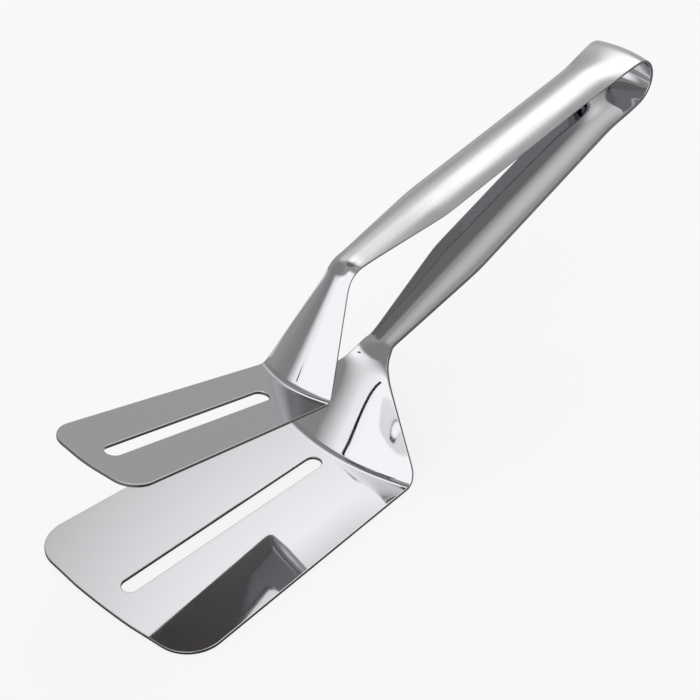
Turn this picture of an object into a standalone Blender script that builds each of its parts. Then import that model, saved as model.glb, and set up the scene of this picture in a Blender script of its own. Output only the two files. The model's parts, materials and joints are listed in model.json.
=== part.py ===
"""Spatula tongs pressed and folded from one strip of stainless steel.

The strip is divided at its bends into named regions that meet face to face:
on each arm a slotted blade, a fan-shaped neck and an arched handle, and at the
back the two halves of the spring bow that joins the arms.

+X runs from the bow to the blade tips, Y runs across the strip and +Z is up.
The lower blade lies flat on z = 0, and the hinge line is the crown of the bow.
Lengths are in metres and angles in radians.
"""

import math
from dataclasses import dataclass

import bmesh
import bpy
import numpy as np

# The strip and its bends, with radii taken at mid-thickness
SHEET = 0.0012
SEAM = 0.0003
CREASE_RADIUS = 0.0030
FLARE_RADIUS = 0.0400
BOW_RADIUS = 0.0092
BOW_HALF_WIDTH = 0.0109
BOW_EDGE_SLOPE = math.radians(10.0)
ARCH_FADE = 0.0300
CUT_OVERRUN = 0.0020

# Lower blade, measured from the two ends of its crease
LOWER_BLADE_LENGTH = 0.1103
LOWER_REAR_HALF_WIDTH = 0.0323
LOWER_TIP_HALF_WIDTH = 0.0396
LOWER_TIP_BOW = 0.0027
LOWER_TIP_CORNER = 0.0130
LOWER_SLOT_HALF_WIDTH = 0.0031
LOWER_SLOT_REAR_MARGIN = 0.0118
LOWER_SLOT_FRONT_MARGIN = 0.0092

# Lower neck, a fan whose shoulders stand just above the crease
LOWER_NECK_LENGTH = 0.0368
LOWER_NECK_RISE = math.radians(63.8)
LOWER_NECK_EDGE_SLOPE = math.radians(20.0)
LOWER_SHOULDER_HEIGHT = 0.0044
LOWER_SHOULDER_RADIUS = 0.0060
LOWER_WAIST_DROP = 0.0022
LOWER_WAIST_RADIUS = 0.0270

# Lower handle, a channel that opens upwards
LOWER_THROAT_RADIUS = 0.0125
LOWER_THROAT_HALF_WIDTH = 0.0053
LOWER_THROAT_EDGE_SLOPE = math.radians(-20.0)
LOWER_HANDLE_LENGTH = 0.1381
LOWER_HANDLE_RISE = math.radians(20.5)
LOWER_HANDLE_HALF_WIDTH = 0.0103
LOWER_HANDLE_EDGE_SLOPE = math.radians(-25.0)
LOWER_FLARE_START = 0.0049
LOWER_FLARE_END = 0.0446

# Upper blade
UPPER_BLADE_LENGTH = 0.0914
UPPER_BLADE_TILT = math.radians(13.3)
UPPER_REAR_HALF_WIDTH = 0.0156
UPPER_TIP_HALF_WIDTH = 0.0201
UPPER_TIP_BOW = 0.0016
UPPER_TIP_CORNER = 0.0085
UPPER_SLOT_HALF_WIDTH = 0.00295
UPPER_SLOT_REAR_MARGIN = 0.0143
UPPER_SLOT_FRONT_MARGIN = 0.0085

# Upper neck
UPPER_NECK_LENGTH = 0.0423
UPPER_NECK_RISE = math.radians(59.7)
UPPER_NECK_EDGE_SLOPE = math.radians(28.0)
UPPER_SHOULDER_HEIGHT = 0.0010
UPPER_SHOULDER_RADIUS = 0.0050
UPPER_WAIST_DROP = 0.0040
UPPER_WAIST_RADIUS = 0.0120

# Upper handle, a channel that opens downwards
UPPER_THROAT_RADIUS = 0.0040
UPPER_THROAT_HALF_WIDTH = 0.0052
UPPER_THROAT_EDGE_SLOPE = math.radians(26.0)
UPPER_HANDLE_LENGTH = 0.1432
UPPER_HANDLE_RISE = math.radians(9.3)
UPPER_HANDLE_HALF_WIDTH = 0.0092
UPPER_HANDLE_EDGE_SLOPE = math.radians(40.0)
UPPER_FLARE_START = 0.0060
UPPER_FLARE_END = 0.0415

# Share of each arch's depth that stands outside the line of the flat strip
LOWER_ARCH_OUTSIDE_SHARE = 0.08
UPPER_ARCH_OUTSIDE_SHARE = 0.55
BOW_ARCH_OUTSIDE_SHARE = 0.5

# Reach of the neck past its throat, in lengths of the throat's bend
NECK_OVERLAP_SHARE = 1.5

# Run of the tip's bow that is left straight beside each corner, in corner radii
TIP_CORNER_RUN_SHARE = 2.0

# Counts of facets
NECK_ACROSS = 16
HANDLE_ACROSS = 12
BOW_ACROSS = 8
CREASE_STEPS = 5
THROAT_STEPS = 5
NECK_STEPS = 9
HANDLE_STEPS = 26
BOW_STEPS = 12
CORNER_STEPS = 8
TIP_STEPS = 8
SLOT_STEPS = 10

SATIN_STEEL = ((0.66, 0.66, 0.67), 0.34)
BRIGHT_STEEL = ((0.60, 0.60, 0.61), 0.12)


@dataclass
class ArmSizes:
    """The sizes of one arm. Rises are taken on the way from the blade back to the bow."""

    blade_length: float
    blade_rise: float
    rear_half_width: float
    tip_half_width: float
    tip_bow: float
    tip_corner: float
    slot_half_width: float
    slot_rear_margin: float
    slot_front_margin: float
    neck_length: float
    neck_rise: float
    neck_edge_slope: float
    shoulder_height: float
    shoulder_radius: float
    waist_drop: float
    waist_radius: float
    throat_radius: float
    throat_half_width: float
    throat_edge_slope: float
    handle_length: float
    handle_rise: float
    handle_half_width: float
    handle_edge_slope: float
    bow_edge_slope: float
    arch_outside_share: float
    flare_start: float
    flare_end: float


def clear_scene():
    for old in list(bpy.data.objects):
        bpy.data.objects.remove(old, do_unlink=True)


def steel(name, finish):
    colour, roughness = finish
    material = bpy.data.materials.new(name)
    material.use_nodes = True
    shader = material.node_tree.nodes["Principled BSDF"]
    shader.inputs["Base Color"].default_value = (*colour, 1.0)
    shader.inputs["Metallic"].default_value = 1.0
    shader.inputs["Roughness"].default_value = roughness
    return material


def way_back(rise):
    """Unit vector in the side view, x then z, that heads for the bow at a given rise."""
    return np.array([-math.cos(rise), math.sin(rise)])


def upper_side(way):
    """Normal of the face that looks up and forwards, on a run that heads for the bow."""
    return np.array([way[1], -way[0]])


def smooth_step(value, start, end):
    share = min(max((value - start) / (end - start), 0.0), 1.0)
    return share * share * (3.0 - 2.0 * share)


def fillet(before, corner, after, radius, steps):
    """Points of the arc that rounds one corner of a plane path, both ends included."""
    inward = (before - corner) / np.linalg.norm(before - corner)
    outward = (after - corner) / np.linalg.norm(after - corner)
    half_angle = 0.5 * math.acos(float(np.clip(np.dot(inward, outward), -1.0, 1.0)))
    bisector = (inward + outward) / np.linalg.norm(inward + outward)
    centre = corner + bisector * radius / math.sin(half_angle)
    first = corner + inward * radius / math.tan(half_angle) - centre
    last = corner + outward * radius / math.tan(half_angle) - centre
    sweep = math.pi - 2.0 * half_angle
    points = []
    for step in range(steps + 1):
        turned = sweep * step / steps
        spoke = math.sin(sweep - turned) * first + math.sin(turned) * last
        points.append(centre + spoke / math.sin(sweep))
    return points


def rounded_path(corners, radii, steps):
    """A plane path whose inner corners are rounded, one radius for each."""
    corners = [np.array(corner) for corner in corners]
    points = [corners[0]]
    for before, corner, after, radius in zip(corners, corners[1:], corners[2:], radii):
        points.extend(fillet(before, corner, after, radius, steps))
    points.append(corners[-1])
    return np.array(points)


def arched_section(half_width, edge_slope, share):
    """Place across and height over the edges, at a share of the way round a circular arch."""
    if edge_slope == 0.0:
        return share * half_width, 0.0
    radius = half_width / math.sin(edge_slope)
    turned = share * edge_slope
    return radius * math.sin(turned), radius * (math.cos(turned) - math.cos(edge_slope))


class Arm:
    """One arm of the strip, from its blade back to the bow.

    Distances along the strip start at the crease: below zero on the blade, then up
    the neck to the throat and along the handle to the bow. Shares across it run
    from -1 at one edge to 1 at the other.
    """

    def __init__(self, sizes, crease):
        self.sizes = sizes
        self.blade_way = way_back(sizes.blade_rise)
        self.neck_way = way_back(sizes.neck_rise)
        self.handle_way = way_back(sizes.handle_rise)
        self.crease = crease
        self.throat = crease + self.neck_way * sizes.neck_length
        self.length = sizes.neck_length + sizes.handle_length
        throat_turn = sizes.neck_rise - sizes.handle_rise
        throat_bend = sizes.throat_radius * math.tan(0.5 * throat_turn)
        self.neck_end = sizes.neck_length + NECK_OVERLAP_SHARE * throat_bend
        self.outline = self.flat_outline()

    def flat_outline(self):
        """Half-width of the arm against the distance along it."""
        sizes = self.sizes
        spread = (sizes.tip_half_width - sizes.rear_half_width) / sizes.blade_length
        corners = [
            (-sizes.blade_length, sizes.tip_half_width),
            (sizes.shoulder_height, sizes.rear_half_width - spread * sizes.shoulder_height),
            (sizes.neck_length - sizes.waist_drop, sizes.throat_half_width),
            (sizes.neck_length + sizes.flare_start, sizes.throat_half_width),
            (sizes.neck_length + sizes.flare_end, sizes.handle_half_width),
            (self.length - ARCH_FADE, sizes.handle_half_width),
            (self.length, BOW_HALF_WIDTH),
        ]
        radii = [sizes.shoulder_radius, sizes.waist_radius, FLARE_RADIUS, FLARE_RADIUS, FLARE_RADIUS]
        return rounded_path(corners, radii, CORNER_STEPS)

    def half_width(self, distance):
        return float(np.interp(distance, self.outline[:, 0], self.outline[:, 1]))

    def into_bow(self, distance):
        return smooth_step(distance, self.length - ARCH_FADE, self.length)

    def edge_slope(self, distance):
        """Slope of the arched section at its edges, above zero where its upper face is convex."""
        sizes = self.sizes
        up_the_neck = smooth_step(distance, 0.0, sizes.neck_length)
        into_handle = smooth_step(distance, sizes.neck_length, sizes.neck_length + sizes.flare_end)
        slope = sizes.neck_edge_slope
        slope += (sizes.throat_edge_slope - sizes.neck_edge_slope) * up_the_neck
        slope += (sizes.handle_edge_slope - sizes.throat_edge_slope) * into_handle
        return slope + (sizes.bow_edge_slope - slope) * self.into_bow(distance)

    def section(self, distance, share):
        """Place across the strip and height over its edges, at a share of the way across."""
        return arched_section(self.half_width(distance), self.edge_slope(distance), share)

    def lift(self, distance, share):
        """Height of the arched section over the line of the flat strip."""
        outside = self.sizes.arch_outside_share
        outside += (BOW_ARCH_OUTSIDE_SHARE - outside) * self.into_bow(distance)
        return self.section(distance, share)[1] - (1.0 - outside) * self.section(distance, 0.0)[1]

    def handle_point(self, distance, share):
        along = self.throat + self.handle_way * (distance - self.sizes.neck_length)
        return along + upper_side(self.handle_way) * self.lift(distance, share)

    def neck_profile(self, share):
        """Side view of the neck at one share of its width, with the bends at both its ends."""
        sizes = self.sizes
        crease_turn = sizes.neck_rise - sizes.blade_rise
        crease = self.crease - self.blade_way * self.section(0.0, share)[1] / math.sin(crease_turn)
        on_blade = crease - self.blade_way * sizes.neck_length
        neck_side = upper_side(self.neck_way)
        handle_side = upper_side(self.handle_way)
        mitre = (neck_side + handle_side) / (1.0 + np.dot(neck_side, handle_side))
        throat = self.throat + mitre * self.lift(sizes.neck_length, share)
        on_handle = self.handle_point(self.neck_end, share)
        crease_bend = fillet(on_blade, crease, throat, CREASE_RADIUS, CREASE_STEPS)
        throat_bend = fillet(crease, throat, on_handle, sizes.throat_radius, THROAT_STEPS)
        fan = np.linspace(crease_bend[-1], throat_bend[0], NECK_STEPS + 1)[1:-1]
        return np.array([*crease_bend, *fan, *throat_bend, on_handle])

    def neck_rows(self):
        shares = np.linspace(-1.0, 1.0, NECK_ACROSS + 1)
        profiles = [self.neck_profile(share) for share in shares]
        steps = np.linalg.norm(np.diff(profiles[0], axis=0), axis=1)
        distances = self.neck_end - np.append(np.cumsum(steps[::-1])[::-1], 0.0)
        rows = []
        for index, distance in enumerate(distances):
            row = []
            for share, profile in zip(shares, profiles):
                x, z = profile[index]
                row.append((x, self.section(distance, share)[0], z))
            rows.append(row)
        return rows

    def handle_rows(self):
        rows = []
        for distance in np.linspace(self.neck_end + SEAM, self.length - SEAM, HANDLE_STEPS + 1):
            row = []
            for share in np.linspace(-1.0, 1.0, HANDLE_ACROSS + 1):
                x, z = self.handle_point(distance, share)
                row.append((x, self.section(distance, share)[0], z))
            rows.append(row)
        return rows


def bow_rows(centre, start, end):
    """Rows of the strip round the bow, between two angles seen from its centre."""
    depth = arched_section(BOW_HALF_WIDTH, BOW_EDGE_SLOPE, 0.0)[1]
    rows = []
    for angle in np.linspace(start, end, BOW_STEPS + 1):
        row = []
        for share in np.linspace(-1.0, 1.0, BOW_ACROSS + 1):
            y, height = arched_section(BOW_HALF_WIDTH, BOW_EDGE_SLOPE, share)
            radius = BOW_RADIUS + height - (1.0 - BOW_ARCH_OUTSIDE_SHARE) * depth
            row.append((centre[0] + radius * math.cos(angle), y, centre[1] + radius * math.sin(angle)))
        rows.append(row)
    return rows


def add_object(name, mesh, frame):
    item = bpy.data.objects.new(name, mesh)
    bpy.context.scene.collection.objects.link(item)
    item.parent = frame
    return item


def finish_sheet(item, material):
    """Gives a surface at mid-thickness the thickness and colour of the sheet."""
    item.data.materials.append(material)
    sheet = item.modifiers.new("Sheet thickness", "SOLIDIFY")
    sheet.thickness = SHEET
    sheet.offset = 0.0
    sheet.use_even_offset = True
    sheet.use_quality_normals = True


def formed_region(name, rows, material, frame):
    """A bent or arched region of the strip, lofted through rows of points."""
    surface = bmesh.new()
    origin = frame.location
    grid = [[surface.verts.new((x - origin.x, y, z - origin.z)) for x, y, z in row] for row in rows]
    for row, after in zip(grid, grid[1:]):
        for index in range(len(row) - 1):
            surface.faces.new((row[index], row[index + 1], after[index + 1], after[index]))
    mesh = bpy.data.meshes.new(name)
    surface.to_mesh(mesh)
    surface.free()
    mesh.shade_smooth()
    item = add_object(name, mesh, frame)
    finish_sheet(item, material)
    return item


def tip_outline(sizes):
    """One half of a blade's bowed tip and its rounded corner, from the middle outwards."""
    corner = np.array([sizes.blade_length - sizes.tip_bow, sizes.tip_half_width])
    side = np.array([0.0, sizes.rear_half_width])
    bow_end = sizes.tip_half_width - TIP_CORNER_RUN_SHARE * sizes.tip_corner
    points = []
    for y in np.linspace(0.0, bow_end, TIP_STEPS + 1):
        points.append(np.array([sizes.blade_length - sizes.tip_bow * (y / sizes.tip_half_width) ** 2, y]))
    return points + fillet(points[-1], corner, side, sizes.tip_corner, CORNER_STEPS)


def slot_outline(sizes):
    """A long slot with round ends, on the middle line of a blade."""
    radius = sizes.slot_half_width
    front = (sizes.blade_length - sizes.slot_front_margin - radius, -0.5 * math.pi)
    rear = (sizes.slot_rear_margin + radius, 0.5 * math.pi)
    points = []
    for centre, turned in (front, rear):
        for angle in np.linspace(turned, turned + math.pi, SLOT_STEPS + 1):
            points.append((centre + radius * math.cos(angle), radius * math.sin(angle)))
    return points


def flat_face(name, points):
    outline = bmesh.new()
    outline.faces.new([outline.verts.new((x, y, 0.0)) for x, y in points])
    bmesh.ops.recalc_face_normals(outline, faces=outline.faces)
    mesh = bpy.data.meshes.new(name)
    outline.to_mesh(mesh)
    outline.free()
    return mesh


def slotted_blade(name, arm, material, frame):
    """A flat blade, drawn in its own plane and laid at the crease, with its slot cut through."""
    rear = []
    for x, y, z in arm.neck_rows()[0]:
        forwards = np.dot(arm.crease - np.array([x, z]), arm.blade_way)
        rear.append((forwards + SEAM, y))
    tip = tip_outline(arm.sizes)
    side_by_side = rear + [(x, y) for x, y in reversed(tip)] + [(x, -y) for x, y in tip[1:]]
    blade = add_object(name, flat_face(name, side_by_side), frame)
    blade.location = (arm.crease[0] - frame.location.x, 0.0, arm.crease[1] - frame.location.z)
    blade.rotation_euler.y = arm.sizes.blade_rise
    finish_sheet(blade, material)

    cutter = add_object(name + "_slot_cutter", flat_face(name + "_slot", slot_outline(arm.sizes)), blade)
    cutter.hide_render = True
    cutter.display_type = "WIRE"
    depth = cutter.modifiers.new("Depth of cut", "SOLIDIFY")
    depth.thickness = SHEET + 2.0 * CUT_OVERRUN
    depth.offset = 0.0
    slot = blade.modifiers.new("Slot", "BOOLEAN")
    slot.operation = "DIFFERENCE"
    slot.solver = "EXACT"
    slot.object = cutter
    return blade


def arm_frame(name, x, z):
    frame = bpy.data.objects.new(name, None)
    bpy.context.scene.collection.objects.link(frame)
    frame.location = (x, 0.0, z)
    return frame


def main():
    clear_scene()
    lower_sizes = ArmSizes(
        blade_length=LOWER_BLADE_LENGTH,
        blade_rise=0.0,
        rear_half_width=LOWER_REAR_HALF_WIDTH,
        tip_half_width=LOWER_TIP_HALF_WIDTH,
        tip_bow=LOWER_TIP_BOW,
        tip_corner=LOWER_TIP_CORNER,
        slot_half_width=LOWER_SLOT_HALF_WIDTH,
        slot_rear_margin=LOWER_SLOT_REAR_MARGIN,
        slot_front_margin=LOWER_SLOT_FRONT_MARGIN,
        neck_length=LOWER_NECK_LENGTH,
        neck_rise=LOWER_NECK_RISE,
        neck_edge_slope=LOWER_NECK_EDGE_SLOPE,
        shoulder_height=LOWER_SHOULDER_HEIGHT,
        shoulder_radius=LOWER_SHOULDER_RADIUS,
        waist_drop=LOWER_WAIST_DROP,
        waist_radius=LOWER_WAIST_RADIUS,
        throat_radius=LOWER_THROAT_RADIUS,
        throat_half_width=LOWER_THROAT_HALF_WIDTH,
        throat_edge_slope=LOWER_THROAT_EDGE_SLOPE,
        handle_length=LOWER_HANDLE_LENGTH,
        handle_rise=LOWER_HANDLE_RISE,
        handle_half_width=LOWER_HANDLE_HALF_WIDTH,
        handle_edge_slope=LOWER_HANDLE_EDGE_SLOPE,
        bow_edge_slope=-BOW_EDGE_SLOPE,
        arch_outside_share=LOWER_ARCH_OUTSIDE_SHARE,
        flare_start=LOWER_FLARE_START,
        flare_end=LOWER_FLARE_END,
    )
    upper_sizes = ArmSizes(
        blade_length=UPPER_BLADE_LENGTH,
        blade_rise=-UPPER_BLADE_TILT,
        rear_half_width=UPPER_REAR_HALF_WIDTH,
        tip_half_width=UPPER_TIP_HALF_WIDTH,
        tip_bow=UPPER_TIP_BOW,
        tip_corner=UPPER_TIP_CORNER,
        slot_half_width=UPPER_SLOT_HALF_WIDTH,
        slot_rear_margin=UPPER_SLOT_REAR_MARGIN,
        slot_front_margin=UPPER_SLOT_FRONT_MARGIN,
        neck_length=UPPER_NECK_LENGTH,
        neck_rise=UPPER_NECK_RISE,
        neck_edge_slope=UPPER_NECK_EDGE_SLOPE,
        shoulder_height=UPPER_SHOULDER_HEIGHT,
        shoulder_radius=UPPER_SHOULDER_RADIUS,
        waist_drop=UPPER_WAIST_DROP,
        waist_radius=UPPER_WAIST_RADIUS,
        throat_radius=UPPER_THROAT_RADIUS,
        throat_half_width=UPPER_THROAT_HALF_WIDTH,
        throat_edge_slope=UPPER_THROAT_EDGE_SLOPE,
        handle_length=UPPER_HANDLE_LENGTH,
        handle_rise=UPPER_HANDLE_RISE,
        handle_half_width=UPPER_HANDLE_HALF_WIDTH,
        handle_edge_slope=UPPER_HANDLE_EDGE_SLOPE,
        bow_edge_slope=BOW_EDGE_SLOPE,
        arch_outside_share=UPPER_ARCH_OUTSIDE_SHARE,
        flare_start=UPPER_FLARE_START,
        flare_end=UPPER_FLARE_END,
    )

    # The side view runs up the lower arm, round the bow and down the upper arm
    lower_run = LOWER_NECK_LENGTH * way_back(LOWER_NECK_RISE)
    lower_run = lower_run + LOWER_HANDLE_LENGTH * way_back(LOWER_HANDLE_RISE)
    to_bow_centre = lower_run + BOW_RADIUS * upper_side(way_back(LOWER_HANDLE_RISE))
    rear_end = to_bow_centre[0] - BOW_RADIUS - 0.5 * SHEET
    lower_crease = np.array([-0.5 * (rear_end + LOWER_BLADE_LENGTH), 0.5 * SHEET])
    bow_centre = lower_crease + to_bow_centre
    upper_run = UPPER_NECK_LENGTH * way_back(UPPER_NECK_RISE)
    upper_run = upper_run + UPPER_HANDLE_LENGTH * way_back(UPPER_HANDLE_RISE)
    upper_crease = bow_centre + BOW_RADIUS * upper_side(way_back(UPPER_HANDLE_RISE)) - upper_run
    lower = Arm(lower_sizes, lower_crease)
    upper = Arm(upper_sizes, upper_crease)

    lower_frame = arm_frame("lower_arm", lower_crease[0], lower_crease[1])
    upper_frame = arm_frame("upper_arm", bow_centre[0] - BOW_RADIUS, bow_centre[1])
    satin = steel("satin_steel", SATIN_STEEL)
    bright = steel("bright_steel", BRIGHT_STEEL)

    slotted_blade("lower_blade", lower, bright, lower_frame)
    formed_region("lower_neck", lower.neck_rows(), bright, lower_frame)
    formed_region("lower_handle", lower.handle_rows(), bright, lower_frame)
    slotted_blade("upper_blade", upper, bright, upper_frame)
    formed_region("upper_neck", upper.neck_rows(), bright, upper_frame)
    formed_region("upper_handle", upper.handle_rows(), satin, upper_frame)

    half_seam = 0.5 * SEAM / BOW_RADIUS
    lower_start = 1.5 * math.pi - LOWER_HANDLE_RISE
    upper_start = 0.5 * math.pi - UPPER_HANDLE_RISE
    lower_bow = bow_rows(bow_centre, lower_start, math.pi + half_seam)
    upper_bow = bow_rows(bow_centre, upper_start, math.pi - half_seam)
    formed_region("spring_bow_lower", lower_bow, bright, lower_frame)
    formed_region("spring_bow_upper", upper_bow, bright, upper_frame)


if __name__ == "__main__":
    main()
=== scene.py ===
"""Looks of the spatula tongs: one strip of stainless steel, slotted, bent and folded.

Each arm is drawn from a short row of faces that is extruded up the neck and along the
handle, then smoothed, given its blade and slot, thickened and rounded at its edges. The
bow is spun between the two handles. Lengths are in metres and angles in radians.
"""

import json
import math

import bmesh
import bpy
import numpy as np
from bpy.props import FloatProperty, FloatVectorProperty, IntProperty, PointerProperty
from mathutils import Euler, Matrix, Vector


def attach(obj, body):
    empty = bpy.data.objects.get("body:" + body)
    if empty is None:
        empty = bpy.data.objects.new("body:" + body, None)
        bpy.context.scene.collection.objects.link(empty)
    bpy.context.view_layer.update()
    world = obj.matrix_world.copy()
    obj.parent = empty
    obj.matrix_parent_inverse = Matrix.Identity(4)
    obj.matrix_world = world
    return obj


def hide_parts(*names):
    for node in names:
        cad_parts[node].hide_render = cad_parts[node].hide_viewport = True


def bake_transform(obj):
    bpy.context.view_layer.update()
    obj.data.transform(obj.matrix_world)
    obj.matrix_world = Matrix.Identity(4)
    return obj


bl_info = {
    "name": "Spatula tongs",
    "version": (1, 0, 0),
    "blender": (4, 5, 0),
    "location": "View3D > Sidebar > Tongs",
    "description": "Builds pressed steel spatula tongs and the studio they are shown in",
    "category": "Add Mesh",
}

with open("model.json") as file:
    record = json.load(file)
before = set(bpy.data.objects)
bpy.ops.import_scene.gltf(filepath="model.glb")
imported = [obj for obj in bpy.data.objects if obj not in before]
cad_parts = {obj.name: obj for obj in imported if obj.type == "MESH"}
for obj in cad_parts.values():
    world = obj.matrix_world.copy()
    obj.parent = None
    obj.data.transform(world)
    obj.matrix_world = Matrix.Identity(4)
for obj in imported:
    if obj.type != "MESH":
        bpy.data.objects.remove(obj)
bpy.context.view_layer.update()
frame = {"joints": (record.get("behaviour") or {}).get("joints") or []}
HINGE = Vector(frame["joints"][0]["pos_m"])

# Numbers of the steels on each piece.
POLISHED, SATIN, RIM, DISHED = 0, 1, 2, 3

# Points closer than the first are made one, and points closer to a seam than the second lie on it.
MERGE_DISTANCE = 1e-6
SEAM_REACH = 1e-5

# Edges are shaded sharp past the first angle, and rounded past the second.
SHARP_ANGLE = math.radians(40.0)
RIM_ANGLE = math.radians(55.0)

# A face is flat where its normal's rise is more than this, and an arch straight where it slopes less.
FLAT_RISE = 0.9999
STRAIGHT = 1e-6

# The finishing lines' length, and how many clouds of haze there are in a metre of steel.
STREAK_LENGTH = 0.040
CLOUDS_PER_METRE = 70.0


def linear(hex_colour):
    """A hex sRGB colour as the linear values that Blender's sockets take."""
    parts = [int(hex_colour[place:place + 2], 16) / 255.0 for place in (0, 2, 4)]
    bent = [part / 12.92 if part <= 0.04045 else ((part + 0.055) / 1.055) ** 2.4 for part in parts]
    return (*bent, 1.0)


def amount(name, description, default, **options):
    return FloatProperty(name=name, description=description, default=default, **options)


def length(name, description, default):
    return amount(name, description, default, unit="LENGTH")


def angle(name, description, degrees):
    return amount(name, description, math.radians(degrees), subtype="ANGLE")


def fraction(name, description, default):
    return amount(name, description, default, min=0.0, max=1.0)


def brightness(name, description, default):
    return amount(name, description, default, min=0.0)


def count(name, description, default):
    return IntProperty(name=name, description=description, default=default, min=1)


def vector(name, description, default, **options):
    return FloatVectorProperty(name=name, description=description, default=default, **options)


def location(name, description, default):
    return vector(name, description, default, subtype="XYZ", unit="LENGTH")


def tint(name, description, hex_colour):
    return vector(name, description, linear(hex_colour), subtype="COLOR", size=4, min=0.0, max=1.0)


def round_light(name, description, *degrees):
    """Where a round part of the room's light hangs, and how far its middle and its rim reach."""
    meaning = description + ": azimuth from +X towards +Y, height, middle and rim"
    return vector(name, meaning, [math.radians(part) for part in degrees], size=4, unit="ROTATION")


class StripProperties(bpy.types.PropertyGroup):
    """The strip that the tongs are pressed from, and the bow that joins its arms."""

    sheet: length("Sheet", "Thickness of the strip", 0.0012)
    edge_round: length("Edge round", "Round on the tumbled edges of the strip", 0.0003)
    edge_ring: length("Edge ring", "Narrow faces that hold the sheet flat to its edges", 0.00037)
    crease_radius: length("Crease radius", "Radius of both creases at mid-thickness", 0.0030)
    flare_radius: length("Flare radius", "Radius of the outline where a handle widens", 0.0400)
    bow_radius: length("Bow radius", "Radius of the bow at mid-thickness", 0.0092)
    bow_half_width: length("Bow half-width", "Half the width of the strip round the bow", 0.0109)
    bow_edge_slope: angle("Bow edge slope", "Slope of the bow's arch at its edges", 10.0)
    bow_arch_outside: fraction("Bow arch outside", "Share of the bow's arch outside its round", 0.5)
    arch_fade: length("Arch fade", "Run in which a handle takes the bow's arch", 0.0180)
    bow_tail: length("Bow tail", "Run of each handle that is drawn with the bow", 0.0350)


# Sizes of the arms: the kind and meaning of each, and its default for the lower and for the upper arm.
# Rises are taken on the way from the blade back to the bow.
ARM_SIZES = {
    "blade_length": (length, "From the crease to the tip", 0.1103, 0.0914),
    "blade_rise": (angle, "Rise of the blade", 0.0, -13.3),
    "rear_half_width": (length, "Half the blade's width at the crease", 0.0323, 0.0156),
    "tip_half_width": (length, "Half the blade's width at the tip", 0.0396, 0.0201),
    "tip_bow": (length, "How far the tip edge bulges", 0.0027, 0.0016),
    "tip_corner": (length, "Radius of the tip's corners", 0.0130, 0.0085),
    "slot_half_width": (length, "Half the width of the slot", 0.0031, 0.00295),
    "slot_rear_margin": (length, "From the crease to the slot", 0.0118, 0.0143),
    "slot_front_margin": (length, "From the slot to the tip", 0.0092, 0.0085),
    "neck_length": (length, "From the crease to the throat", 0.0368, 0.0423),
    "neck_rise": (angle, "Rise of the neck", 63.8, 59.7),
    "neck_edge_slope": (angle, "Slope of the arch's edges at the crease", 20.0, 28.0),
    "shoulder_height": (length, "From the crease to the outline's shoulder", 0.0044, 0.0010),
    "shoulder_radius": (length, "Radius of the outline's shoulder", 0.0060, 0.0050),
    "waist_drop": (length, "From the outline's waist to the throat", 0.0022, 0.0040),
    "waist_radius": (length, "Radius of the outline's waist", 0.0270, 0.0120),
    "throat_radius": (length, "Radius of the throat's bend", 0.0125, 0.0080),
    "throat_half_width": (length, "Half the narrowest width", 0.0053, 0.0052),
    "throat_edge_slope": (angle, "Slope of the arch's edges at the throat", -20.0, 26.0),
    "handle_length": (length, "From the throat to the bow", 0.1381, 0.1432),
    "handle_rise": (angle, "Rise of the handle", 20.5, 9.3),
    "handle_half_width": (length, "Half the width along the handle", 0.0103, 0.0092),
    "handle_edge_slope": (angle, "Slope of the channel's edges", -25.0, 40.0),
    "bow_turn": (amount, "Sign of the arch at the bow", -1.0, 1.0),
    "arch_outside": (fraction, "Share of the arch outside the flat strip", 0.08, 0.55),
    "flare_start": (length, "From the throat to where the handle widens", 0.0049, 0.0060),
    "flare_end": (length, "From the throat to the full width", 0.0446, 0.0415),
}


def arm_properties(column):
    """The properties of one arm, with its own column of defaults."""
    made = {}
    for key, (kind, meaning, *defaults) in ARM_SIZES.items():
        made[key] = kind(key.replace("_", " ").capitalize(), meaning, defaults[column])
    return made


class LowerArmProperties(bpy.types.PropertyGroup):
    """Sizes of the lower arm."""

    __annotations__ = arm_properties(0)


class UpperArmProperties(bpy.types.PropertyGroup):
    """Sizes of the upper arm."""

    __annotations__ = arm_properties(1)


class FacetProperties(bpy.types.PropertyGroup):
    """How many faces and edges are drawn."""

    across: count("Across", "Faces across the strip", 6)
    crease_steps: count("Crease steps", "Faces round each crease", 6)
    neck_steps: count("Neck steps", "Faces up each neck", 14)
    throat_steps: count("Throat steps", "Faces round each throat", 6)
    handle_steps: count("Handle steps", "Faces along each handle", 26)
    tail_steps: count("Tail steps", "Faces along each tail of the bow", 8)
    bow_steps: count("Bow steps", "Faces round the bow", 14)
    smooth_levels: count("Smoothing levels", "Halvings of each face", 2)
    outline_steps: count("Outline steps", "Edges round each corner of an arm's outline", 8)
    tip_steps: count("Tip steps", "Edges along half of each tip", 8)
    corner_steps: count("Corner steps", "Edges round each tip corner", 16)
    slot_steps: count("Slot steps", "Edges round each quarter of a slot's ends", 12)
    rim_steps: count("Rim steps", "Faces round each tumbled edge", 4)


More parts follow.
